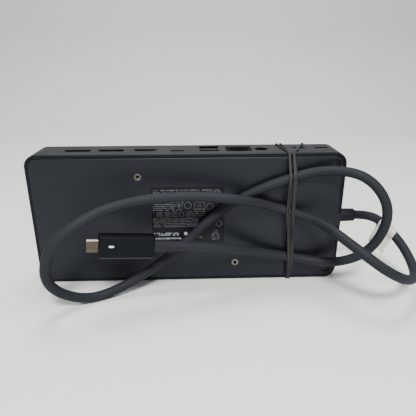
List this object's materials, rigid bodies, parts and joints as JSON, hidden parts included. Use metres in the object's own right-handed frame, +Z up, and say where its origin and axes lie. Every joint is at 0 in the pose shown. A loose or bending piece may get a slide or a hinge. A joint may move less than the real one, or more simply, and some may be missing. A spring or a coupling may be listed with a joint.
{
  "type": "laptop docking station",
  "caption": "Slim desktop docking station stood on its long edge, rear face of sockets upward, its captive lead wound against the underside and held by rubber bands.",
  "frame": {"origin": "on the table under the middle of the casing, which stands on its long front edge (the rubber bands under it hold it 0.6 mm up)", "axes": "+X along the casing towards the end with the gland, -Y the underside that the lead lies against, +Y the top cover, +Z up, the way the rear sockets face"},
  "size_m": [0.2565, 0.0805, 0.092],
  "materials": {
    "casing_shell": "fine spark texture, satin",
    "casing_plate": "fine spark texture, satin",
    "label_film": "satin film with plain ruled rows",
    "insert_metal": "turned, knurled outside",
    "black_screw": "black oxide",
    "board_screw": "zinc plated",
    "lock_steel": "rolled sheet",
    "circuit_board": "green solder mask",
    "black_moulding": "moulded",
    "chip_resin": "moulded resin",
    "capacitor_can": "drawn can",
    "thermal_pad": "soft silicone pad",
    "spreader_aluminium": "milled",
    "shield_steel": "tinned sheet",
    "contact_metal": "gold flash",
    "button_plastic": "satin gloss",
    "plunger_plastic": "moulded",
    "gland_rubber": "moulded rubber",
    "cord_jacket": "extruded matt jacket",
    "tag_paper": "blank laminated paper",
    "plug_plastic": "fine moulded texture",
    "plug_steel": "nickel plated",
    "lamp_lens": "diffuse white lens",
    "carrier_plastic": "moulded",
    "socket_steel": "nickel plated sheet",
    "socket_core": "moulded",
    "band_rubber": "grey natural rubber"
  },
  "bodies": {
    "casing": {"base_cover": "casing_plate", "board_plug": "black_moulding", "board_screws": "board_screw", "board_socket": "black_moulding", "button_switch": "black_moulding", "cable_clamp": "shield_steel", "cable_connector": "black_moulding", "cable_gland": "gland_rubber", "cable_tail": "cord_jacket", "capacitors": "capacitor_can", "cord": "cord_jacket", "cord_tag": "tag_paper", "display_hub_chip": "chip_resin", "displayport_1_shell": "socket_steel", "displayport_1_tongue": "socket_core", "displayport_2_shell": "socket_steel", "displayport_2_tongue": "socket_core", "front_usb_a_shell": "socket_steel", "front_usb_a_tongue": "socket_core", "front_usb_c_shell": "socket_steel", "front_usb_c_tongue": "socket_core", "hdmi_shell": "socket_steel", "hdmi_tongue": "socket_core", "heat_spreader": "spreader_aluminium", "inductors": "chip_resin", "label": "label_film", "lock_plate": "lock_steel", "main_board": "circuit_board", "module_board": "circuit_board", "module_cover": "casing_plate", "module_screws": "black_screw", "module_shield": "shield_steel", "module_usb_c_1_shell": "socket_steel", "module_usb_c_1_tongue": "socket_core", "module_usb_c_2_shell": "socket_steel", "module_usb_c_2_tongue": "socket_core", "network_chip": "chip_resin", "network_contacts": "contact_metal", "network_socket": "black_moulding", "network_transformer": "chip_resin", "plug_contact_carrier": "carrier_plastic", "plug_housing": "plug_plastic", "plug_lamp": "lamp_lens", "plug_shell": "plug_steel", "plug_strain_relief": "cord_jacket", "power_chips": "chip_resin", "power_jack_body": "black_moulding", "power_jack_contacts": "contact_metal", "rubber_band_left": "band_rubber", "rubber_band_right": "band_rubber", "thermal_pads": "thermal_pad", "threaded_inserts": "insert_metal", "top_cover": "casing_shell", "usb_a_stack_shell": "socket_steel", "usb_a_stack_tongues": "socket_core", "usb_c_shell": "socket_steel", "usb_c_tongue": "socket_core", "usb_hub_chip": "chip_resin"},
    "power_button": {"power_button": "button_plastic", "switch_plunger": "plunger_plastic"}
  },
  "joints": [
    {"name": "power_button_press", "type": "slide", "parent": "casing", "child": "power_button", "axis": [0, -1, 0], "range_m": [0, 0.0006], "stiffness_N_per_m": 1500, "springref_m": -0.0004}
  ]
}
